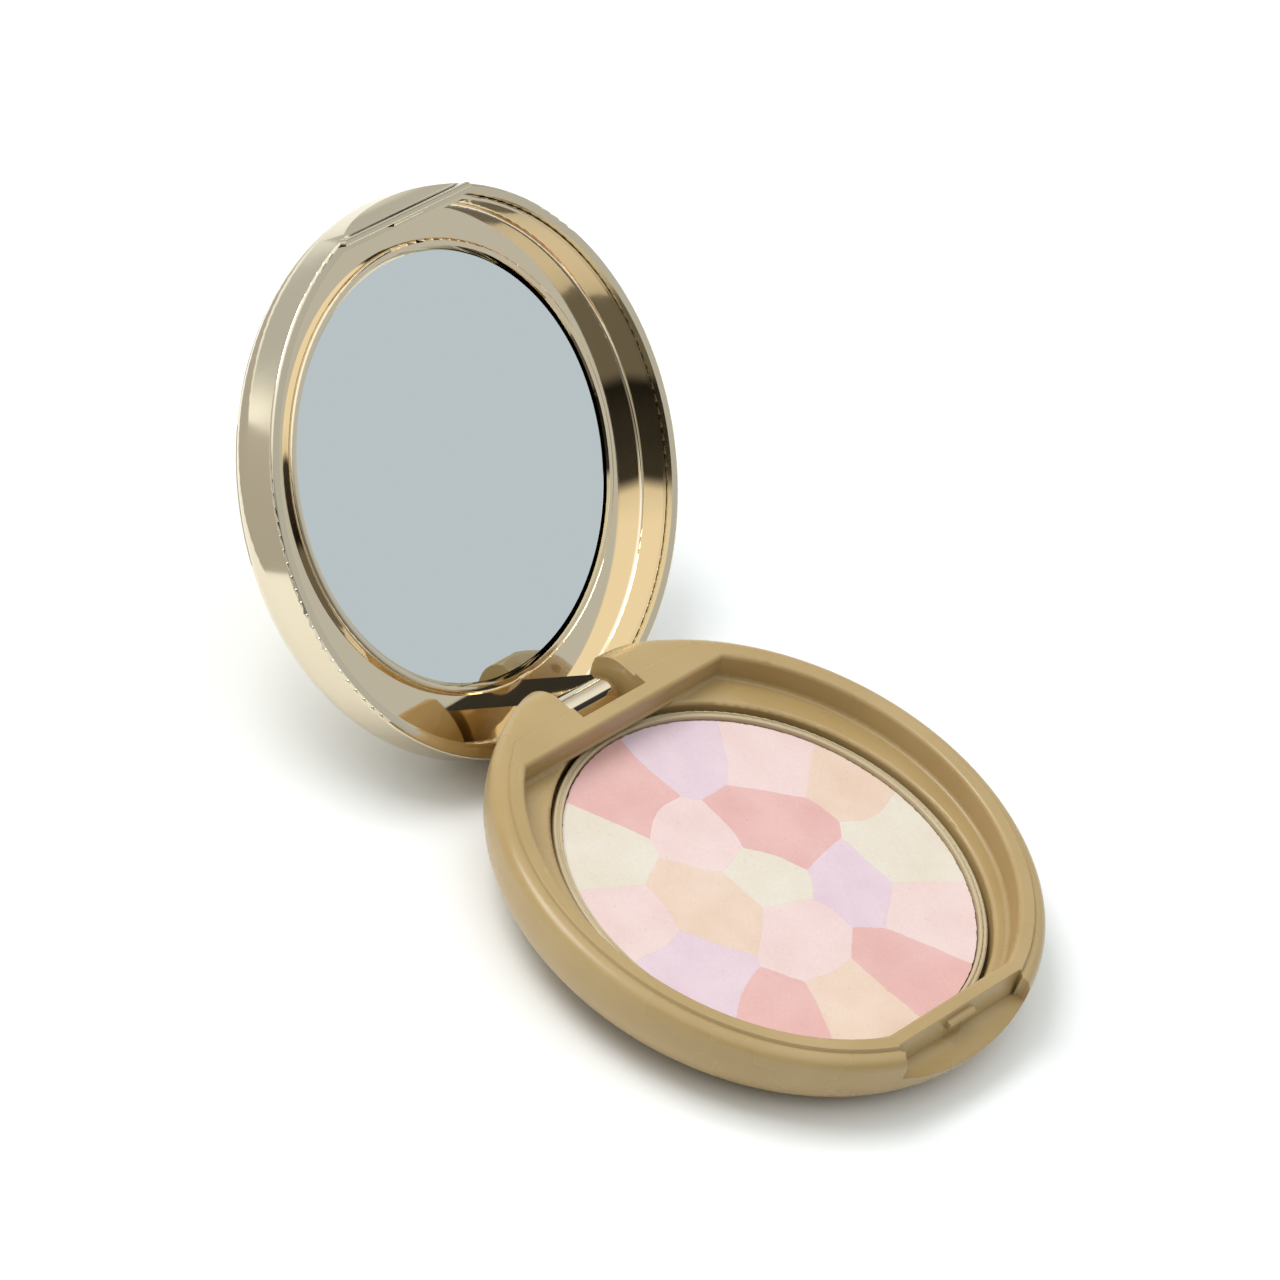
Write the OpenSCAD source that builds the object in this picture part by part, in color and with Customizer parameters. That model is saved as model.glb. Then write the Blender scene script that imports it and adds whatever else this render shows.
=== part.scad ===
// Round pressed-powder compact, open: tan base, mosaic powder pan, gold lid with mirror.
// Millimetres. Origin: centre of the flat underside. +Z up, +Y to the hinge, +X to the right.
// The lid is drawn closed and then turned back about the hinge to its open rest position.

/* [Assembly] */
// Which part to show
// Lid opening from closed, degrees
open_angle = 135.3; // [0:0.1:135.3]

/* [Base] */
// Outer radius of the base
body_r = 38.5; // [30:0.5:45]
// Height of the raised band around the well
base_h = 12; // [10:0.5:16]
// Radius of the rounded lower edge
base_round = 8.6; // [4:0.1:9]
// Radius of the step between raised band and shoulder
band_r = 36.3; // [36:0.1:36.5]
// Height of that step
band_step = 0.5; // [0.3:0.1:0.8]
// Radius of the rounded shoulder outside the band
shoulder_round = 1.8; // [1:0.1:2.4]
// Radius of the well wall
well_r = 34.2; // [33:0.1:35]
// Depth of the well ledge below the band
well_depth = 4; // [3:0.1:5]
// Rounding of the well edge
well_edge = 0.6; // [0.3:0.1:1]
// Straight well wall at the back, distance from centre
well_back = 27.4; // [26:0.1:28]
// Straight well wall at the front, distance from centre
well_front = 31.7; // [31:0.1:32]
// Centre of the pan in front of the middle of the base
pan_y = -1.8; // [-2:0.1:-1]
// Radius of the pan hole
hole_r = 30.75; // [30.3:0.05:31]
// Floor of the pan hole above the underside
hole_floor = 2.95; // [2.8:0.05:3]

/* [Thumb recess] */
// Half length of the recess
recess_half = 13; // [10:0.5:15]
// Distance of its wall from the centre, at the top
recess_y = 33.7; // [33.5:0.1:34]
// Height of the recess floor above the underside
recess_floor = 8.3; // [7:0.1:9]
// Half width of the catch
catch_half = 2.7; // [2:0.1:4]

/* [Pan and powder] */
// Outer radius of the pan ring
ring_r = 30.15; // [29.9:0.05:30.5]
// Inner radius of the pan ring
ring_bore = 28.95; // [28.8:0.05:29.2]
// Height of the pan ring above the underside
ring_top = 7.15; // [7:0.05:7.8]
// Radius of the pressed powder
powder_r = 28.85; // [28:0.05:28.9]
// Height of the powder face above the underside
powder_top = 6.5; // [6:0.05:7]
// Thickness of the powder
powder_t = 3; // [2:0.1:3]
// Thickness of the metal tray under the powder
tray_t = 0.4; // [0.3:0.05:0.5]
// Outer radius of the adhesive ring under the tray
glue_r = 24; // [15:1:27]
// Inner radius of the adhesive ring
glue_bore = 16; // [5:1:22]

/* [Hinge] */
// Distance of the hinge axis behind the centre
hinge_y = 33.8; // [33.5:0.1:34]
// Height of the hinge axis above the underside
hinge_z = 6.65; // [6.5:0.05:6.8]
// Hinge pin radius
pin_r = 0.8; // [0.6:0.05:1]
// Running clearance between pin and lid barrel
pin_gap = 0.05; // [0.02:0.01:0.1]
// Pin end at the blind side
pin_x0 = -13; // [-14:0.1:-12]
// Pin end at the open side
pin_x1 = 16.2; // [13:0.1:16.4]
// Half width of the notch between the ears
notch_half = 6.5; // [6:0.1:7]
// Front face of the notch behind the centre
notch_y = 29.6; // [29.4:0.1:30]
// Radius of the lid barrel
barrel_r = 2.7; // [2.4:0.1:3]
// Half length of the lid barrel and arm
arm_half = 5.6; // [5:0.1:6.2]

/* [Lid] */
// Outer radius of the lid
lid_r = 38.2; // [38:0.1:38.5]
// Height of the closed lid rim above the underside
lid_z = 11.65; // [11.6:0.05:11.9]
// Lid height over its rim
lid_h = 9.5; // [8:0.1:11]
// Radius of the rounded outer edge
lid_round = 5; // [3:0.1:6]
// Thickness of the lid top
lid_t = 1.3; // [1:0.1:2]
// Pocket radius in the outer shell
pocket_r = 36.8; // [36.7:0.05:37]
// Straight front of the pocket, distance from centre
pocket_front = 34.65; // [34:0.05:35]
// Inner wall radius of the frame
frame_r = 36.1; // [35.8:0.1:36.3]
// Step of the frame below the rim
frame_step = 1; // [0.5:0.1:1.5]
// Depth of the frame floor below the rim
frame_depth = 5.1; // [4.5:0.1:6]
// Outer radius of the bead around the mirror
bead_r = 30.4; // [30:0.05:31]
// Height of the bead above the frame floor
bead_h = 0.95; // [0.5:0.05:1.2]
// Centre of the mirror in front of the middle of the lid
mirror_y = -1; // [-1.5:0.1:0]
// Radius of the mirror recess
mirror_hole_r = 29.35; // [29.1:0.05:29.6]
// Mirror radius
mirror_r = 29; // [28.5:0.05:29.3]
// Mirror thickness
mirror_t = 1.3; // [1:0.1:1.8]
// Depth of the mirror face below the rim
mirror_depth = 4.8; // [4.5:0.1:5.2]
// Thickness of the mirror tape
tape_t = 0.2; // [0.1:0.05:0.3]
// Radius of the mirror tape
tape_r = 26; // [20:1:28]
// Half length of the front lip
lip_half = 12.5; // [10:0.5:14]
// Distance of the lip front from the centre
lip_y = 36.3; // [36:0.1:36.5]
// Thickness of the lip
lip_t = 0.9; // [0.8:0.1:1]
// How far the lip stands past the rim
lip_drop = 1; // [0.5:0.1:1.2]

/* [Hidden] */
$fn = 96;
far = 60;                                   // longer than any part
cover_r = 26;
cover_t = 1.4;
cover_gap = 0.1;
stop_gap = 0.1;                             // arm to stop face when open
shoulder_z = base_h - band_step;
ear_r = shoulder_z - hinge_z;               // ears are round about the hinge axis
crease_y = 31.5;                            // the raised band stops here, in front of the ears
band_slope = 0.2;                           // how far the step leans outwards
groove = 0.35;                              // groove between the two beads of the pan ring
bead_round = 0.45;
catch_out = 1.1;                            // catch face in front of the recess wall
catch_z = 10;                               // lower edge of the catch
catch_h = 1.1;
recess_split = 34.7;                        // the recess ends are two round lobes that meet here
recess_slope = 0.7;                         // how far the recess wall leans out at its foot
recess_floor_r = 5.5;                       // the recess floor falls away outwards in an arc
recess_end_z = 6.3;                         // lowest level of the rounded recess ends
recess_end_round = 2.2;
ledge_round = 0.6;                          // fillet at the foot of the well wall
hole_round = 0.5;                           // rounded edge of the pan hole
hole_over = 0.05;                           // pan hole is cut this far past the ledge
floor_t = 1.2;                              // floor of the lid frame
floor_round = 0.5;
front_wall_t = 0.6;                         // straight front wall of the lid frame
frame_gap = 0.05;                           // between lid frame and lid shell
cove_r = 5.1;                               // thumb cove in the lid, above the lip
cove_up = 1.5;                              // cove centre below the lid rim
lid_catch = 0.4;                            // catch on the inner face of the lip
tan_colour = [0.76, 0.68, 0.52];
gold_colour = [0.83, 0.72, 0.52];

// ---- drawing helpers ----
// rounds an outward corner at [x, y]; the body lies to the lower left before turning by a
module corner_cut(x, y, r, a) {
    translate([x, y]) rotate(a) translate([-r, -r]) difference() {
        square(r + 1);
        circle(r);
    }
}

// fills an inward corner at [x, y]; the free space lies to the upper right before turning by a
module corner_fill(x, y, r, a) {
    translate([x, y]) rotate(a) difference() {
        translate([-0.05, -0.05]) square(r + 0.05);
        translate([r, r]) circle(r);
    }
}

// stretches a [y, z] drawing along X from -half to half
module along_x(half) {
    translate([-half, 0, 0]) rotate([90, 0, 90]) linear_extrude(2 * half) children();
}

// turns a closed-lid part to its open position
module opened() {
    translate([0, hinge_y, hinge_z]) rotate([-open_angle, 0, 0])
        translate([0, -hinge_y, -hinge_z]) children();
}

// ---- base ----
module base_outline() {
    difference() {
        union() {
            rotate_extrude() difference() {
                square([body_r, shoulder_z]);
                corner_cut(body_r, 0, base_round, -90);
                corner_cut(body_r, shoulder_z, shoulder_round, 0);
            }
            intersection() {
                translate([0, 0, shoulder_z]) rotate_extrude()
                    polygon([[0, -1], [band_r + band_slope, -1], [band_r + band_slope, 0],
                        [band_r, band_step], [0, band_step]]);
                translate([-far, -far, 0]) cube([2 * far, far + crease_y, far]);
            }
        }
        // ears round about the hinge axis
        difference() {
            translate([-far, hinge_y, hinge_z]) cube([2 * far, 20, 20]);
            translate([0, hinge_y, hinge_z]) rotate([0, 90, 0])
                cylinder(r = ear_r, h = 3 * far, center = true);
        }
    }
}

module well() {
    intersection() {
        rotate_extrude() difference() {
            union() {
                translate([0, base_h - well_depth]) square([well_r, well_depth + 1]);
                translate([0, base_h]) square([well_r + well_edge, 1]);
                translate([well_r, base_h - well_edge]) difference() {
                    translate([-0.1, 0]) square([well_edge + 0.1, well_edge + 0.1]);
                    translate([well_edge, 0]) circle(well_edge);
                }
            }
            corner_cut(well_r, base_h - well_depth, ledge_round, -90);
        }
        along_x(far) difference() {
            union() {
                translate([-well_front, base_h - well_depth])
                    square([well_front + well_back, well_depth + 1]);
                translate([-well_front - well_edge, base_h])
                    square([well_front + well_back + 2 * well_edge, 1]);
                translate([well_back, base_h - well_edge]) difference() {
                    translate([-0.1, 0]) square([well_edge + 0.1, well_edge + 0.1]);
                    translate([well_edge, 0]) circle(well_edge);
                }
                translate([-well_front - well_edge, base_h - well_edge]) difference() {
                    square([well_edge + 0.1, well_edge + 0.1]);
                    circle(well_edge);
                }
            }
            corner_cut(well_back, base_h - well_depth, ledge_round, -90);
            corner_cut(-well_front, base_h - well_depth, ledge_round, 180);
        }
    }
}

// hole for the pan, with a rounded upper edge; it runs a little way under both straight walls
module pan_hole() {
    ledge_z = base_h - well_depth;
    translate([0, pan_y, 0]) rotate_extrude() union() {
        translate([0, hole_floor]) square([hole_r, ledge_z - hole_floor + hole_over]);
        translate([hole_r, ledge_z - hole_round]) difference() {
            translate([-0.1, 0]) square([hole_round + 0.1, hole_round + hole_over]);
            translate([hole_round, 0]) circle(hole_round);
        }
    }
}

// the recess seen from above: each end is an inner and an outer round lobe
module recess_plan() {
    back = 0.2 - recess_y;
    split = -recess_split;
    lobe = (back - split) / 2 - 0.02;
    difference() {
        translate([-recess_half, split]) square([2 * recess_half, back - split]);
        corner_cut(recess_half, back, lobe, 0);
        corner_cut(-recess_half, back, lobe, 90);
        corner_cut(-recess_half, split, lobe, 180);
        corner_cut(recess_half, split, lobe, -90);
    }
    difference() {
        translate([-recess_half, -far]) square([2 * recess_half, far + split]);
        corner_cut(recess_half, split, 1, 0);
        corner_cut(-recess_half, split, 1, 90);
    }
    translate([2 - recess_half, split - 1]) square([2 * recess_half - 4, 1.5]);
}

module thumb_recess() {
    wall_foot = recess_y + recess_slope;
    floor_z = recess_floor - recess_floor_r;    // centre of the floor arc
    intersection() {
        along_x(far) difference() {
            polygon([[-recess_y, base_h + 1], [-recess_y, base_h], [-wall_foot, recess_floor],
                [-wall_foot, 0], [-far, 0], [-far, base_h + 1]]);
            translate([-wall_foot, floor_z]) circle(recess_floor_r);
            translate([-wall_foot - recess_floor_r, -1]) square([far, floor_z + 1.5]);
        }
        linear_extrude(far) recess_plan();
        // end walls turn into the floor in a round
        translate([0, 0, recess_end_z]) rotate([90, 0, 0]) linear_extrude(far) difference() {
            translate([-recess_half - 1, 0]) square([2 * recess_half + 2, base_h]);
            corner_cut(recess_half + 0.01, 0, recess_end_round, -90);
            corner_cut(-recess_half - 0.01, 0, recess_end_round, 180);
        }
    }
}

// notch for the lid arm; its lower face is the stop that carries the open lid
module hinge_notch() {
    difference() {
        translate([-notch_half, notch_y, -1]) cube([2 * notch_half, 20, base_h + 2]);
        opened() translate([-far / 2, hinge_y + barrel_r + stop_gap, -far])
            cube([far, far, 2 * far]);
    }
}

module base_shell() {
    color(tan_colour) union() {
        difference() {
            base_outline();
            well();
            pan_hole();
            thumb_recess();
            hinge_notch();
            translate([0, 0, -1]) cylinder(r = cover_r + cover_gap, h = cover_t + 1);
            // pin hole: through on the right, blind on the left
            translate([pin_x0, hinge_y, hinge_z]) rotate([0, 90, 0]) cylinder(r = pin_r, h = far);
        }
        // catch on the recess wall
        along_x(catch_half) difference() {
            translate([-recess_y - catch_out, catch_z]) square([catch_out, catch_h]);
            corner_cut(-recess_y - catch_out, catch_z + catch_h, 0.4, 90);
            corner_cut(-recess_y - catch_out, catch_z, 0.4, 180);
        }
    }
}

module base_cover() {
    color(tan_colour) rotate_extrude() difference() {
        square([cover_r, cover_t]);
        corner_cut(cover_r, 0, 0.3, -90);
    }
}

// ---- pan and powder ----
module pan_ring() {
    bead = (ring_r - ring_bore - groove) / 2;   // width of each bead
    color(tan_colour) translate([0, pan_y, 0]) rotate_extrude() difference() {
        translate([ring_bore, hole_floor]) square([ring_r - ring_bore, ring_top - hole_floor]);
        translate([ring_bore + bead + groove / 2, ring_top]) circle(groove / 2);
        corner_cut(ring_r, ring_top, 0.3, 0);
        corner_cut(ring_bore, ring_top, 0.2, 90);
    }
}

module pan_tray() {
    color([0.75, 0.76, 0.78]) translate([0, pan_y, powder_top - powder_t - tray_t])
        cylinder(r = powder_r, h = tray_t);
}

module pan_adhesive() {
    glue_t = powder_top - powder_t - tray_t - hole_floor;
    color([0.85, 0.84, 0.78]) translate([0, pan_y, hole_floor]) difference() {
        cylinder(r = glue_r, h = glue_t);
        translate([0, 0, -1]) cylinder(r = glue_bore, h = glue_t + 2);
    }
}

// one cell of the mosaic, cut off at the edge of the pan
module cell(points) {
    translate([0, pan_y, powder_top - powder_t]) intersection() {
        linear_extrude(powder_t) polygon(points);
        cylinder(r = powder_r, h = powder_t);
    }
}

module powder_cream() {
    color([0.96, 0.90, 0.82]) {
        // right
        cell([[33, 3], [27, 1], [24, 0], [20, 0.5], [17, 2], [15, 0], [15, -9.5], [29, -17]]);
        // left, behind
        cell([[-17, 28.5], [-30, 14.5], [-16.5, 8.5], [-11, 11], [-9.5, 14]]);
        // middle
        cell([[1, 6], [4, 2.5], [6, -1.5], [4.5, -4], [2.5, -5.5], [-5, -3], [-5, 4.5]]);
    }
}

module powder_peach() {
    color([0.95, 0.83, 0.73]) {
        // right, behind
        cell([[28.5, 15.5], [33, 3], [27, 1], [24, 0], [20, 0.5], [17, 2], [17, 5.5],
            [16.5, 7.5], [21.5, 11.5]]);
        // left of the middle
        cell([[-11, 11], [-7.5, 6.5], [-5, 4.5], [-5, -3], [-7.5, -5], [-12.5, -8.5],
            [-15, -5], [-18.5, 0.5], [-17, 4.5], [-16.5, 8.5]]);
        // front
        cell([[-1, -15.5], [-1, -19.5], [-0.5, -32.5], [-17, -28], [-12, -19.5],
            [-10, -15], [-5, -16]]);
    }
}

module powder_rose() {
    color([0.94, 0.74, 0.72]) {
        // back
        cell([[-17, 28.5], [1.5, 32.5], [0, 24.5], [0.5, 17], [-3.5, 17], [-6.5, 16], [-9.5, 14]]);
        // behind the middle
        cell([[2.5, 15], [8, 15], [13, 10.5], [16.5, 7.5], [17, 5.5], [17, 2], [15, 0],
            [6, -1.5], [4, 2.5], [1, 6], [2, 8], [2.5, 12]]);
        // right, front
        cell([[3.5, -12], [7.5, -14.5], [11.5, -21.5], [15.5, -29], [-0.5, -32.5],
            [-1, -19.5], [-1, -15.5]]);
        // left, front
        cell([[-13.5, -10], [-10, -15], [-12, -19.5], [-17, -28], [-27.5, -17],
            [-21, -12.5], [-16.5, -10.5]]);
    }
}

module powder_pink() {
    color([0.97, 0.87, 0.85]) {
        // back right
        cell([[18.5, 27.5], [28.5, 15.5], [21.5, 11.5], [16.5, 7.5], [13, 10.5], [8, 15],
            [11.5, 18], [13.5, 20.5]]);
        // round cell behind the middle
        cell([[0.5, 17], [2.5, 15], [2.5, 12], [2, 8], [1, 6], [-5, 4.5], [-7.5, 6.5],
            [-11, 11], [-9.5, 14], [-6.5, 16], [-3.5, 17]]);
        // left
        cell([[-16.5, 8.5], [-17, 4.5], [-18.5, 0.5], [-22, -0.5], [-31.5, 0], [-30, 14.5]]);
        // right, front
        cell([[15, -9.5], [29, -17], [15.5, -29], [11.5, -21.5], [7.5, -14.5], [13, -11]]);
        // front of the middle
        cell([[-5, -3], [2.5, -5.5], [3.5, -7.5], [3.5, -12], [-1, -15.5], [-5, -16],
            [-10, -15], [-13.5, -10], [-12.5, -8.5], [-7.5, -5]]);
    }
}

module powder_lilac() {
    color([0.93, 0.85, 0.88]) {
        // back
        cell([[1.5, 32.5], [18.5, 27.5], [13.5, 20.5], [11.5, 18], [8, 15], [2.5, 15],
            [0.5, 17], [0, 24.5]]);
        // left, front
        cell([[-18.5, 0.5], [-15, -5], [-12.5, -8.5], [-13.5, -10], [-16.5, -10.5],
            [-21, -12.5], [-27.5, -17], [-31.5, 0], [-22, -0.5]]);
        // right of the middle
        cell([[15, 0], [15, -9.5], [13, -11], [7.5, -14.5], [3.5, -12], [3.5, -7.5],
            [2.5, -5.5], [4.5, -4], [6, -1.5]]);
    }
}

// ---- hinge ----
module hinge_pin() {
    color([0.78, 0.78, 0.8]) translate([pin_x0, hinge_y, hinge_z]) rotate([0, 90, 0])
        rotate_extrude() difference() {
            square([pin_r, pin_x1 - pin_x0]);
            corner_cut(pin_r, pin_x1 - pin_x0, 0.15, 0);
            corner_cut(pin_r, 0, 0.15, -90);
        }
}

// ---- lid, drawn closed ----
module lid_pocket() {
    intersection() {
        translate([0, 0, lid_z - 1]) cylinder(r = pocket_r, h = lid_h - lid_t + 1);
        translate([-far, -pocket_front, 0]) cube([2 * far, 2 * far, far]);
    }
}

module lid_shell() {
    color(gold_colour) opened() union() {
        difference() {
            translate([0, 0, lid_z]) rotate_extrude() difference() {
                square([lid_r, lid_h]);
                corner_cut(lid_r, lid_h, lid_round, 0);
                corner_cut(lid_r, 0, 0.4, -90);
            }
            lid_pocket();
            difference() {
                translate([0, -lip_y - cove_r + 0.1, lid_z - cove_up]) rotate([0, 90, 0])
                    cylinder(r = cove_r, h = far, center = true);
                translate([-far, -lip_y, 0]) cube([2 * far, far, far]);
            }
        }
        // straight lip
        intersection() {
            translate([0, 0, lid_z - lip_drop]) linear_extrude(lip_drop + 0.3) difference() {
                translate([-lip_half, -lip_y]) square([2 * lip_half, lip_t]);
                corner_cut(lip_half, -lip_y, 0.6, -90);
                corner_cut(-lip_half, -lip_y, 0.6, 180);
            }
            along_x(far) difference() {
                translate([-lip_y, lid_z - lip_drop]) square([lip_t, lip_drop + 1]);
                corner_cut(-lip_y, lid_z - lip_drop, 0.25, 180);
                corner_cut(-lip_y + lip_t, lid_z - lip_drop, 0.25, -90);
            }
        }
        // small catch on the inner side of the lip
        along_x(catch_half + 0.2) difference() {
            translate([-lip_y + lip_t - 0.3, lid_z - 0.8]) square([lid_catch + 0.3, 0.8]);
            corner_cut(-lip_y + lip_t + lid_catch, lid_z - 0.8, 0.3, -90);
        }
    }
}

module lid_frame() {
    outer = pocket_r - frame_gap;
    front = pocket_front - frame_gap;
    rim = lid_z + frame_step;
    wall_h = lid_h - lid_t - frame_step;
    floor_z = lid_z + frame_depth;
    back_z = lid_z + mirror_depth + mirror_t + tape_t;
    arm_back = frame_r + 0.05;              // inside the frame wall over the whole arm
    color(gold_colour) opened() difference() {
        union() {
            // wall and floor
            intersection() {
                rotate_extrude() difference() {
                    translate([0, rim]) square([outer, wall_h]);
                    // hollow between the floor and the lid top
                    translate([-1, floor_z + floor_t]) square([frame_r + 1, far]);
                    // dish in front of the floor
                    difference() {
                        translate([-1, lid_z]) square([frame_r + 1, frame_depth]);
                        corner_cut(frame_r, floor_z, floor_round, 0);
                    }
                    corner_cut(outer, rim, 0.15, -90);
                }
                translate([-far, -front, 0]) cube([2 * far, 2 * far, far]);
            }
            // front wall
            intersection() {
                translate([0, 0, rim]) cylinder(r = outer, h = wall_h);
                along_x(far) {
                    translate([-front, rim]) square([front_wall_t, wall_h]);
                    corner_fill(-front + front_wall_t, floor_z, floor_round, -90);
                }
            }
            // thick middle behind the mirror, with the bead around it
            translate([0, mirror_y, 0]) rotate_extrude() {
                translate([0, floor_z]) square([bead_r, back_z + 1 - floor_z]);
                difference() {
                    translate([mirror_hole_r - 0.2, floor_z - bead_h])
                        square([bead_r - mirror_hole_r + 0.2, bead_h + 0.1]);
                    corner_cut(bead_r, floor_z - bead_h, bead_round, -90);
                }
            }
            // hinge arm and barrel
            difference() {
                along_x(arm_half) union() {
                    translate([hinge_y, hinge_z]) circle(barrel_r);
                    polygon([[hinge_y - barrel_r, hinge_z], [hinge_y + barrel_r, hinge_z],
                        [hinge_y + barrel_r, lid_z - 1.6], [arm_back, lid_z - 0.4],
                        [arm_back, floor_z + 0.5], [hinge_y - barrel_r, floor_z + 0.5]]);
                }
                // rounded barrel ends
                for (side = [-1, 1]) translate([side * arm_half, hinge_y, hinge_z])
                    rotate([0, side * 90, 0]) translate([0, 0, -1]) rotate_extrude()
                        intersection() {
                            corner_cut(barrel_r, 1, 0.9, 0);
                            square([barrel_r + 0.1, 1.1]);
                        }
            }
        }
        // mirror recess
        translate([0, mirror_y, floor_z - bead_h - 1])
            cylinder(r = mirror_hole_r, h = back_z - floor_z + bead_h + 1);
        // barrel bore
        translate([-far, hinge_y, hinge_z]) rotate([0, 90, 0])
            cylinder(r = pin_r + pin_gap, h = 2 * far);
    }
}

module mirror() {
    color([0.78, 0.82, 0.84]) opened() translate([0, mirror_y, lid_z + mirror_depth])
        rotate_extrude() difference() {
            square([mirror_r, mirror_t]);
            polygon([[mirror_r - 0.35, -0.1], [mirror_r + 0.1, -0.1], [mirror_r + 0.1, 0.35]]);
        }
}

module mirror_tape() {
    color([0.9, 0.9, 0.86]) opened() translate([0, mirror_y, lid_z + mirror_depth + mirror_t])
        cylinder(r = tape_r, h = tape_t);
}

base_shell();
base_cover();
pan_ring();
pan_tray();
pan_adhesive();
powder_cream();
powder_peach();
powder_rose();
powder_pink();
powder_lilac();
hinge_pin();
lid_shell();
lid_frame();
mirror();
mirror_tape();
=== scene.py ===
import math

import bmesh
import bpy
from mathutils import Matrix, Vector, noise


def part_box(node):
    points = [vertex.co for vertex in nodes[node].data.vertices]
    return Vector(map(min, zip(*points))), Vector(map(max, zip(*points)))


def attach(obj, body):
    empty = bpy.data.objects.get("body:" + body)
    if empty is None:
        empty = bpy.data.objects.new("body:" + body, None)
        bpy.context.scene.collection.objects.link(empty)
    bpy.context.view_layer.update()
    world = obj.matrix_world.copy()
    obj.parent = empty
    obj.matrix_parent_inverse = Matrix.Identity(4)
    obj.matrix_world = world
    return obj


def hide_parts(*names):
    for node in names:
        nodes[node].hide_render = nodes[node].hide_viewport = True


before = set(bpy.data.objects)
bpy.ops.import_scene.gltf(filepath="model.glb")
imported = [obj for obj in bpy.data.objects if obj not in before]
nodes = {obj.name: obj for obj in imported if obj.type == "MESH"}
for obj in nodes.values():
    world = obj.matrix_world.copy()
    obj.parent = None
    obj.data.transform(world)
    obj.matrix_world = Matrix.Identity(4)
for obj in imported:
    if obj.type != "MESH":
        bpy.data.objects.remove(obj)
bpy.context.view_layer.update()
print("frame loaded:", len(nodes), "parts")

mm = 0.001


def linearColour(hexText):
    parts = [int(hexText[i:i + 2], 16) / 255 for i in (1, 3, 5)]
    return tuple(p / 12.92 if p <= 0.04045 else ((p + 0.055) / 1.055) ** 2.4 for p in parts) + (1.0,)


def addNode(tree, kind, settings=None, links=None):
    node = tree.nodes.new(kind)
    for key, value in (settings or {}).items():
        if isinstance(key, int) or key in node.inputs:
            node.inputs[key].default_value = value
        else:
            setattr(node, key, value)
    for key, socket in (links or {}).items():
        tree.links.new(socket, node.inputs[key])
    return node


def startMaterial(name):
    material = bpy.data.materials.new(name)
    material.use_nodes = True
    tree = material.node_tree
    tree.nodes.clear()
    place = addNode(tree, "ShaderNodeTexCoord").outputs["Object"]
    return material, tree, place


def endMaterial(tree, shader):
    addNode(tree, "ShaderNodeOutputMaterial", links={"Surface": shader.outputs[0]})


def giveMaterial(piece, material):
    piece.data.materials.clear()
    piece.data.materials.append(material)


def addPiece(name, bm, material):
    mesh = bpy.data.meshes.new(name)
    bm.to_mesh(mesh)
    bm.free()
    piece = bpy.data.objects.new(name, mesh)
    bpy.context.scene.collection.objects.link(piece)
    giveMaterial(piece, material)
    return piece


# ---- injection-moulded ABS, satin: soft highlights, faint flow clouds, edges eased by polishing ----
def mouldedAbs(name, settings):
    material, tree, place = startMaterial(name)
    clouds = addNode(tree, "ShaderNodeTexNoise",
                     {"Scale": 1 / settings["cloudSize"], "Detail": 3.0, "Roughness": 0.5},
                     {"Vector": place})
    grain = addNode(tree, "ShaderNodeTexNoise",
                    {"Scale": 1 / settings["grainSize"], "Detail": 2.0}, {"Vector": place})
    colour = addNode(tree, "ShaderNodeMix", {"data_type": "RGBA",
                                            6: linearColour(settings["shade"]),
                                            7: linearColour(settings["light"])},
                     {0: clouds.outputs["Fac"]})
    gloss = addNode(tree, "ShaderNodeMapRange",
                    {"From Min": 0.3, "From Max": 0.7, "To Min": settings["roughness"] - 0.05,
                     "To Max": settings["roughness"] + 0.06}, {"Value": clouds.outputs["Fac"]})
    easedEdge = addNode(tree, "ShaderNodeBevel", {"samples": 6, "Radius": settings["edge"]})
    bump = addNode(tree, "ShaderNodeBump", {"Strength": 0.12, "Distance": settings["grainDepth"]},
                   {"Height": grain.outputs["Fac"], "Normal": easedEdge.outputs["Normal"]})
    shader = addNode(tree, "ShaderNodeBsdfPrincipled",
                     {"IOR": 1.5, "Subsurface Weight": settings["glow"],
                      "Subsurface Radius": (1.0, 0.6, 0.3), "Subsurface Scale": 0.8 * mm},
                     {"Base Color": colour.outputs[2], "Roughness": gloss.outputs["Result"],
                      "Normal": bump.outputs["Normal"]})
    endMaterial(tree, shader)
    return material


baseFinish = {"shade": "#A28652", "light": "#B79D6F", "roughness": 0.27, "glow": 0.15,
              "cloudSize": 16 * mm, "grainSize": 0.25 * mm, "grainDepth": 0.03 * mm, "edge": 0.25 * mm}
ringFinish = {"shade": "#B6A27E", "light": "#C2B190", "roughness": 0.3, "glow": 0.12,
              "cloudSize": 12 * mm, "grainSize": 0.25 * mm, "grainDepth": 0.02 * mm, "edge": 0.12 * mm}
baseAbs = mouldedAbs("satin moulded ABS", baseFinish)
ringAbs = mouldedAbs("polished moulded ABS", ringFinish)


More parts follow.
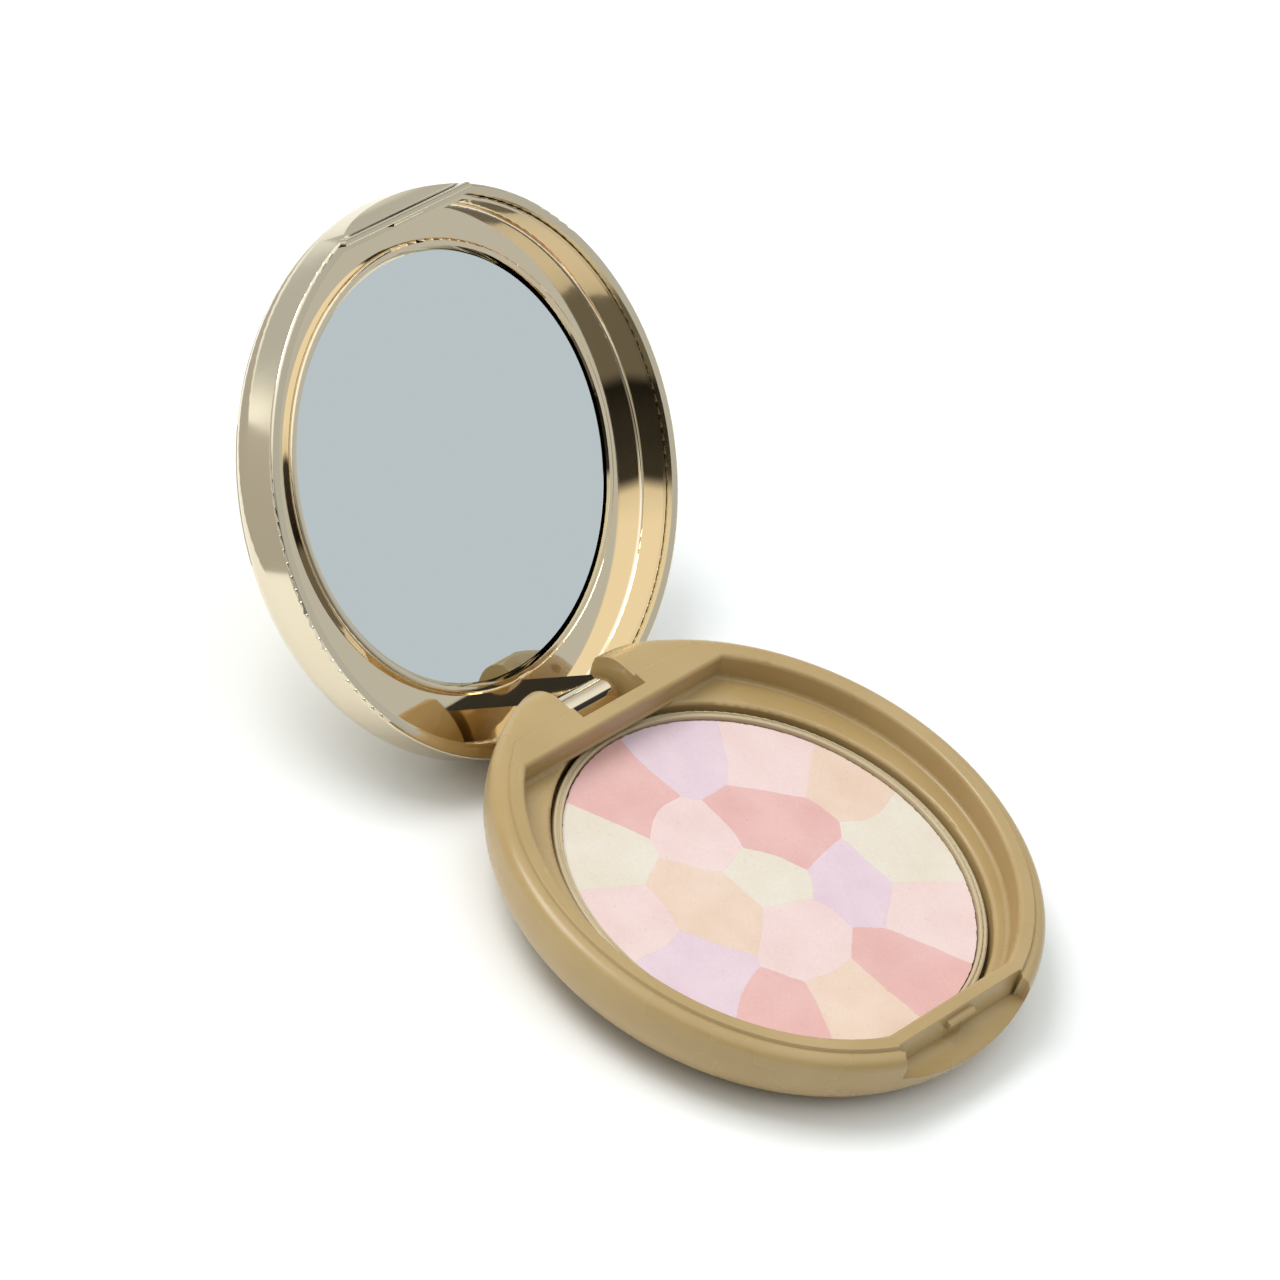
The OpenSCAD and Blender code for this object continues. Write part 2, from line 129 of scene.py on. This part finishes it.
# ---- vacuum-metallised ABS: a bright champagne mirror with a slow waviness from the moulding ----
def metallisedGold(name, settings):
    material, tree, place = startMaterial(name)
    waves = addNode(tree, "ShaderNodeTexNoise", {"Scale": 1 / settings["waveSize"], "Detail": 1.0},
                    {"Vector": place})
    haze = addNode(tree, "ShaderNodeTexNoise", {"Scale": 1 / settings["hazeSize"], "Detail": 4.0},
                   {"Vector": place})
    bump = addNode(tree, "ShaderNodeBump", {"Strength": 0.5, "Distance": settings["waveDepth"]},
                   {"Height": waves.outputs["Fac"]})
    gloss = addNode(tree, "ShaderNodeMapRange",
                    {"From Min": 0.35, "From Max": 0.75, "To Min": settings["roughness"] * 0.7,
                     "To Max": settings["roughness"] * 1.5}, {"Value": haze.outputs["Fac"]})
    shader = addNode(tree, "ShaderNodeBsdfPrincipled",
                     {"Base Color": linearColour(settings["colour"]), "Metallic": 1.0},
                     {"Roughness": gloss.outputs["Result"], "Normal": bump.outputs["Normal"]})
    endMaterial(tree, shader)
    return material


shellFinish = {"colour": "#DDD0B6", "roughness": 0.12, "waveSize": 6 * mm, "waveDepth": 0.035 * mm,
               "hazeSize": 9 * mm}
innerFinish = {"colour": "#E8D8BC", "roughness": 0.05, "waveSize": 6 * mm, "waveDepth": 0.015 * mm,
               "hazeSize": 8 * mm}
shellGold = metallisedGold("metallised champagne shell", shellFinish)
innerGold = metallisedGold("metallised champagne inside", innerFinish)


# ---- silvered float glass: neutral mirror with a breath of haze ----
def silveredGlass(settings):
    material, tree, place = startMaterial("silvered float glass")
    haze = addNode(tree, "ShaderNodeTexNoise", {"Scale": 1 / settings["hazeSize"], "Detail": 5.0},
                   {"Vector": place})
    gloss = addNode(tree, "ShaderNodeMapRange",
                    {"From Min": 0.4, "From Max": 0.8, "To Min": settings["clear"],
                     "To Max": settings["hazy"]}, {"Value": haze.outputs["Fac"]})
    shader = addNode(tree, "ShaderNodeBsdfPrincipled",
                     {"Base Color": linearColour(settings["colour"]), "Metallic": 1.0},
                     {"Roughness": gloss.outputs["Result"]})
    endMaterial(tree, shader)
    return material


mirrorFinish = {"colour": "#E6EDEE", "clear": 0.01, "hazy": 0.03, "hazeSize": 14 * mm}
mirrorGlass = silveredGlass(mirrorFinish)


# ---- pressed powder: talc and mica pressed dry, matt, fine grain with a few darker specks ----
def pressedPowder(name, colour, shade):
    settings = {"grain": 0.35 * mm, "pits": 1.6 * mm, "patches": 7 * mm}
    material, tree, place = startMaterial(name)
    patches = addNode(tree, "ShaderNodeTexNoise", {"Scale": 1 / settings["patches"], "Detail": 4.0},
                      {"Vector": place})
    grain = addNode(tree, "ShaderNodeTexNoise", {"Scale": 1 / settings["grain"], "Detail": 3.0,
                                                "Roughness": 0.7}, {"Vector": place})
    specks = addNode(tree, "ShaderNodeTexVoronoi", {"Scale": 1 / settings["pits"]},
                     {"Vector": place})
    patchTone = addNode(tree, "ShaderNodeMapRange", {"From Min": 0.35, "From Max": 0.7},
                        {"Value": patches.outputs["Fac"]})
    tone = addNode(tree, "ShaderNodeMix", {"data_type": "RGBA", 6: linearColour(colour),
                                          7: linearColour(shade)},
                   {0: patchTone.outputs["Result"]})
    grainTone = addNode(tree, "ShaderNodeMapRange", {"From Min": 0.3, "From Max": 0.7,
                                                    "To Min": 0.96, "To Max": 1.03},
                        {"Value": grain.outputs["Fac"]})
    speckTone = addNode(tree, "ShaderNodeMapRange", {"From Min": 0.05, "From Max": 0.14,
                                                    "To Min": 0.9, "To Max": 1.0},
                        {"Value": specks.outputs["Distance"]})
    shadeBy = addNode(tree, "ShaderNodeMath", {"operation": "MULTIPLY"},
                      {0: grainTone.outputs["Result"], 1: speckTone.outputs["Result"]})
    coloured = addNode(tree, "ShaderNodeVectorMath", {"operation": "SCALE"},
                       {0: tone.outputs[2], "Scale": shadeBy.outputs[0]})
    bump = addNode(tree, "ShaderNodeBump", {"Strength": 0.35, "Distance": 0.05 * mm},
                   {"Height": shadeBy.outputs[0]})
    shader = addNode(tree, "ShaderNodeBsdfPrincipled",
                     {"Roughness": 0.8, "Specular IOR Level": 0.25, "Sheen Weight": 0.15,
                      "Sheen Roughness": 0.4},
                     {"Base Color": coloured.outputs[0], "Normal": bump.outputs["Normal"]})
    endMaterial(tree, shader)
    return material


powderColours = {
    "powder_cream": ("#DCD2C3", "#D8CBB9"),
    "powder_peach": ("#DFC7B5", "#DABEA9"),
    "powder_rose": ("#DCB1AB", "#D6A7A1"),
    "powder_pink": ("#E2CAC5", "#DEC2BD"),
    "powder_lilac": ("#DBC5CB", "#D4BBC5"),
}


# ---- hidden and small metal parts ----
def plainMetal(name, colour, roughness, grainSize):
    material, tree, place = startMaterial(name)
    drawn = addNode(tree, "ShaderNodeMapping", {"Scale": (1.0, 12.0, 12.0)}, {"Vector": place})
    grain = addNode(tree, "ShaderNodeTexNoise", {"Scale": 1 / grainSize, "Detail": 3.0},
                    {"Vector": drawn.outputs["Vector"]})
    gloss = addNode(tree, "ShaderNodeMapRange", {"To Min": roughness * 0.7, "To Max": roughness * 1.4},
                    {"Value": grain.outputs["Fac"]})
    bump = addNode(tree, "ShaderNodeBump", {"Strength": 0.1, "Distance": 0.01 * mm},
                   {"Height": grain.outputs["Fac"]})
    shader = addNode(tree, "ShaderNodeBsdfPrincipled",
                     {"Base Color": linearColour(colour), "Metallic": 1.0},
                     {"Roughness": gloss.outputs["Result"], "Normal": bump.outputs["Normal"]})
    endMaterial(tree, shader)
    return material


def mattFilm(name, colour, shade):
    material, tree, place = startMaterial(name)
    blotch = addNode(tree, "ShaderNodeTexNoise", {"Scale": 1 / (3 * mm), "Detail": 4.0},
                     {"Vector": place})
    tone = addNode(tree, "ShaderNodeMix", {"data_type": "RGBA", 6: linearColour(colour),
                                          7: linearColour(shade)}, {0: blotch.outputs["Fac"]})
    shader = addNode(tree, "ShaderNodeBsdfPrincipled", {"Roughness": 0.6},
                     {"Base Color": tone.outputs[2]})
    endMaterial(tree, shader)
    return material


drawnSteel = plainMetal("drawn stainless wire", "#C3C3C5", 0.25, 2 * mm)
stampedAluminium = plainMetal("stamped aluminium", "#D2D3D5", 0.35, 3 * mm)
curedGlue = mattFilm("cured hot-melt glue", "#DAD6C6", "#CFC9B4")
foamTape = mattFilm("white foam tape", "#E6E5DE", "#DCDAD0")

for name, material in {"base_shell": baseAbs, "base_cover": baseAbs, "pan_ring": ringAbs,
                       "lid_shell": shellGold, "lid_frame": innerGold, "mirror": mirrorGlass,
                       "hinge_pin": drawnSteel, "pan_tray": stampedAluminium,
                       "pan_adhesive": curedGlue, "mirror_tape": foamTape}.items():
    giveMaterial(nodes[name], material)
print("materials on the moulded parts")


# ---- polished surfaces of the lid: merged copies whose small roundings shade smoothly ----
polish = {"sharpFrom": 28,            # degrees between faces
          "weld": 0.002 * mm,
          "pieces": {"lid_shell": shellGold, "lid_frame": innerGold}}


def polishedCopy(node, material):
    bm = bmesh.new()
    bm.from_mesh(nodes[node].data)
    bmesh.ops.remove_doubles(bm, verts=bm.verts, dist=polish["weld"])
    for face in bm.faces:
        face.smooth = True
    for edge in bm.edges:
        edge.smooth = (len(edge.link_faces) == 2
                       and edge.calc_face_angle(0.0) < math.radians(polish["sharpFrom"]))
    piece = addPiece(node + "_polished", bm, material)
    evenShading = piece.modifiers.new("even shading", "WEIGHTED_NORMAL")
    evenShading.keep_sharp = True
    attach(piece, "lid")
    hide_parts(node)
    return piece


for node, material in polish["pieces"].items():
    piece = polishedCopy(node, material)
    print(node, "polished, points", len(piece.data.vertices))


# ---- mosaic of pressed powder ----
mosaic = {"spacing": 0.4 * mm,       # length of border steps
          "rimSpacing": 0.22 * mm,
          "rounding": 10,            # smoothing passes over each border
          "swaySize": 4 * mm, "sway": 0.22 * mm,
          "fraySize": 0.6 * mm, "fray": 0.09 * mm,
          "chip": 0.2 * mm,          # how far the outer edge crumbles in
          "lip": 0.05 * mm, "lipDrop": 0.02 * mm}
panLow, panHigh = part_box("pan_tray")
panCentre = (Vector(panLow) + Vector(panHigh)) / 2
panReach = (panHigh[0] - panLow[0]) / 2


def topOutlines(node):
    # corner points of each cell of the part, read from a merged copy of its top
    bm = bmesh.new()
    bm.from_mesh(nodes[node].data)
    bmesh.ops.remove_doubles(bm, verts=bm.verts, dist=2e-6)
    top = max(v.co.z for v in bm.verts)
    below = [f for f in bm.faces if min(v.co.z for v in f.verts) < top - 1e-5]
    bmesh.ops.delete(bm, geom=below, context="FACES")
    bmesh.ops.dissolve_faces(bm, faces=bm.faces[:], use_verts=False)
    bmesh.ops.recalc_face_normals(bm, faces=bm.faces[:])
    outlines = [[v.co.copy() for v in (f.verts if f.normal.z > 0 else reversed(f.verts[:]))]
                for f in bm.faces]
    bm.free()
    return outlines


def cornerKey(point):
    return round(point.x / mm * 20), round(point.y / mm * 20)


def fromCentre(point):
    return Vector((point.x - panCentre.x, point.y - panCentre.y, 0)).length


def atRim(point):
    return fromCentre(point) > panReach - 0.06 * mm


def divide(outline, corners):
    # evenly spaced points along the outline, each with a mark if it must stay in place
    points = []
    for a, b in zip(outline, outline[1:] + outline[:1]):
        step = mosaic["rimSpacing"] if atRim(a) and atRim(b) else mosaic["spacing"]
        count = max(1, round((b - a).length / step))
        points.append((a, atRim(a) or corners.get(cornerKey(a), 0) > 2))
        points += [(a.lerp(b, k / count), atRim(a) and atRim(b)) for k in range(1, count)]
    return points


def smoothed(points):
    for step in range(mosaic["rounding"]):
        ring = [p for p, held in points]
        points = [(p, True) if held else ((ring[k - 1] + p * 2 + ring[(k + 1) % len(ring)]) / 4, False)
                  for k, (p, held) in enumerate(points)]
    return [p for p, held in points]


def roughened(point):
    away = Vector((point.x - panCentre.x, point.y - panCentre.y, 0))
    inside = panReach - away.length
    if inside < 0.3 * mm:
        crumble = abs(noise.noise(point / (0.5 * mm))) + 0.7 * abs(noise.noise(point / (2.1 * mm)))
        return point - away.normalized() * (mosaic["chip"] * min(1.0, crumble) - min(0.0, inside))
    slow = noise.noise_vector(point / mosaic["swaySize"]) * mosaic["sway"]
    fast = noise.noise_vector(point / mosaic["fraySize"]) * mosaic["fray"]
    move = (slow + fast) * min(1.0, (inside - 0.3 * mm) / (2 * mm))
    return point + Vector((move.x, move.y, 0))


def addCell(bm, ring, thickness):
    # flat top with a narrow worn lip, upright wall and flat underside
    count = len(ring)
    rims = []
    for k, point in enumerate(ring):
        along = (ring[(k + 1) % count] - ring[k - 1]).normalized()
        inwards = Vector((-along.y, along.x, 0))
        rims.append((bm.verts.new(point + inwards * mosaic["lip"]),
                     bm.verts.new(point - Vector((0, 0, mosaic["lipDrop"]))),
                     bm.verts.new(point - Vector((0, 0, thickness)))))
    bm.faces.new([r[0] for r in rims])
    bm.faces.new([r[2] for r in reversed(rims)])
    for a, b in zip(rims, rims[1:] + rims[:1]):
        bm.faces.new((a[0], a[1], b[1], b[0]))
        bm.faces.new((a[1], a[2], b[2], b[1]))


def buildPowder(node, outlines, corners, material):
    low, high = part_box(node)
    bm = bmesh.new()
    for outline in outlines:
        ring = [roughened(p) for p in smoothed(divide(outline, corners))]
        addCell(bm, ring, high[2] - low[2])
    bmesh.ops.recalc_face_normals(bm, faces=bm.faces[:])
    piece = addPiece(node + "_pressed", bm, material)
    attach(piece, "base")
    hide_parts(node)
    return piece


outlinesByNode = {node: topOutlines(node) for node in powderColours}
corners = {}
for outlines in outlinesByNode.values():
    for point in (p for outline in outlines for p in outline):
        corners[cornerKey(point)] = corners.get(cornerKey(point), 0) + 1
for node, (colour, shade) in powderColours.items():
    piece = buildPowder(node, outlinesByNode[node], corners,
                        pressedPowder(node.replace("_", " ") + " talc", colour, shade))
    print(node, "pressed cells", len(outlinesByNode[node]), "points", len(piece.data.vertices))


# ---- studio ----
studio = {"floorSize": 3.0, "floorColour": "#F7F7F5", "frontFoot": -29.9 * mm, "tilt": 3.79}


def tiltAtFoot(bm):
    # the small angle at which the open compact leans back on its lid
    foot = Vector((0, studio["frontFoot"], 0))
    bmesh.ops.rotate(bm, cent=foot, matrix=Matrix.Rotation(math.radians(-studio["tilt"]), 3, "X"),
                     verts=bm.verts)


def buildFloor():
    bm = bmesh.new()
    bmesh.ops.create_grid(bm, x_segments=2, y_segments=2, size=studio["floorSize"])
    tiltAtFoot(bm)
    material, tree, place = startMaterial("matt studio paper")
    shader = addNode(tree, "ShaderNodeBsdfPrincipled",
                     {"Base Color": linearColour(studio["floorColour"]), "Roughness": 0.9,
                      "Specular IOR Level": 0.1})
    endMaterial(tree, shader)
    addPiece("floor", bm, material)


# painted shade: this card's grey colour stands in for the shadow the compact casts on the floor beside
# it
floorShadeCard = {"colour": "#A8A49E", "towards": (-0.667, 0.745), "away": 108.65 * mm, "aside": -10 * mm,
        "depth": 0.3, "half": 0.25, "lift": 0.5 * mm}


def buildFloorShadeCard():
    # painted shade: a grey card beside the set stands in for the compact's shadow on the floor there;
    # the metallised lid wall mirrors it as a darker floor
    x, y = floorShadeCard["towards"]
    out, along = Vector((x, y, 0)), Vector((y, -x, 0))
    near = out * floorShadeCard["away"] + along * floorShadeCard["aside"]
    bm = bmesh.new()
    bm.faces.new([bm.verts.new(near + along * a + out * b)
                  for a, b in ((-floorShadeCard["half"], 0), (floorShadeCard["half"], 0),
                               (floorShadeCard["half"], floorShadeCard["depth"]), (-floorShadeCard["half"], floorShadeCard["depth"]))])
    bmesh.ops.recalc_face_normals(bm, faces=bm.faces[:])
    tiltAtFoot(bm)
    bmesh.ops.translate(bm, vec=(0, 0, floorShadeCard["lift"]), verts=bm.verts)
    material, tree, place = startMaterial("grey card as painted floor shade")
    shader = addNode(tree, "ShaderNodeBsdfPrincipled",
                     {"Base Color": linearColour(floorShadeCard["colour"]), "Roughness": 0.8})
    endMaterial(tree, shader)
    addPiece("floor_shade_card", bm, material)


sky = {"tint": (0.95, 1.0, 1.02), "horizon": 0.64, "zenith": 1.35,
       "riseFrom": 0.55, "riseTo": 0.85,    # heights between which it brightens
       # direction, cosine where the dark side starts, cosine where it is full, level there
       "darkSides": (((-0.15, -0.98, 0.05), 0.57, 0.78, 0.32),
                     ((-0.72, -0.44, 0.54), 0.945, 0.972, 0.06),
                     ((0.72, -0.3, 0.63), 0.975, 0.988, 0.05))}


def buildSky():
    # pale even room light with darker sides, brightest overhead
    world = bpy.data.worlds.new("studio")
    bpy.context.scene.world = world
    world.use_nodes = True
    tree = world.node_tree
    tree.nodes.clear()
    way = addNode(tree, "ShaderNodeTexCoord").outputs["Generated"]
    parts = addNode(tree, "ShaderNodeSeparateXYZ", links={"Vector": way})
    level = addNode(tree, "ShaderNodeMapRange", {"From Min": sky["riseFrom"], "From Max": sky["riseTo"],
                                                "To Min": sky["horizon"], "To Max": sky["zenith"]},
                    {"Value": parts.outputs["Z"]}).outputs["Result"]
    for towards, start, full, left in sky["darkSides"]:
        unit = Vector(towards).normalized()
        facing = addNode(tree, "ShaderNodeVectorMath", {"operation": "DOT_PRODUCT", 1: tuple(unit)},
                         {0: way})
        shade = addNode(tree, "ShaderNodeMapRange", {"interpolation_type": "SMOOTHSTEP",
                                                    "From Min": start, "From Max": full,
                                                    "To Min": 1.0, "To Max": left},
                        {"Value": facing.outputs["Value"]})
        level = addNode(tree, "ShaderNodeMath", {"operation": "MULTIPLY"},
                        {0: level, 1: shade.outputs["Result"]}).outputs[0]
    tint = addNode(tree, "ShaderNodeVectorMath", {"operation": "SCALE", 0: sky["tint"]},
                   {"Scale": level})
    light = addNode(tree, "ShaderNodeBackground", {"Strength": 1.0}, {"Color": tint.outputs[0]})
    addNode(tree, "ShaderNodeOutputWorld", links={"Surface": light.outputs[0]})


softbox = {"place": (-0.3, 0.5, 0.8), "aim": (0, 0.02, 0.01), "size": (0.5, 0.5), "power": 5.0}


def addSoftbox():
    data = bpy.data.lights.new("keySoftbox", "AREA")
    data.shape = "RECTANGLE"
    data.size, data.size_y = softbox["size"]
    data.energy = softbox["power"]
    lamp = bpy.data.objects.new("keySoftbox", data)
    lamp.location = softbox["place"]
    towards = Vector(softbox["aim"]) - Vector(softbox["place"])
    lamp.rotation_euler = towards.to_track_quat("-Z", "Y").to_euler()
    bpy.context.scene.collection.objects.link(lamp)


view = {"azimuth": -64.53, "elevation": 39.97, "roll": 24.48, "distance": 1.0457,
        "target": (-2.23 * mm, 28.81 * mm, 25.13 * mm), "lens": 225.0, "sensor": 36.0}


def addCamera():
    az, el, roll = (math.radians(view[k]) for k in ("azimuth", "elevation", "roll"))
    back = Vector((math.sin(az) * math.cos(el), -math.cos(az) * math.cos(el), math.sin(el)))
    right = Vector((math.cos(az), math.sin(az), 0))
    up = back.cross(right)
    turnedRight = right * math.cos(roll) + up * math.sin(roll)
    turnedUp = up * math.cos(roll) - right * math.sin(roll)
    data = bpy.data.cameras.new("camera")
    data.lens, data.sensor_width = view["lens"], view["sensor"]
    data.clip_start, data.clip_end = 0.05, 20.0
    camera = bpy.data.objects.new("camera", data)
    camera.matrix_world = Matrix((turnedRight, turnedUp, back)).transposed().to_4x4()
    camera.location = Vector(view["target"]) + back * view["distance"]
    bpy.context.scene.collection.objects.link(camera)
    bpy.context.scene.camera = camera


buildFloor()
buildFloorShadeCard()
buildSky()
addSoftbox()
addCamera()
bpy.context.scene.view_settings.view_transform = "Standard"
print("studio ready")
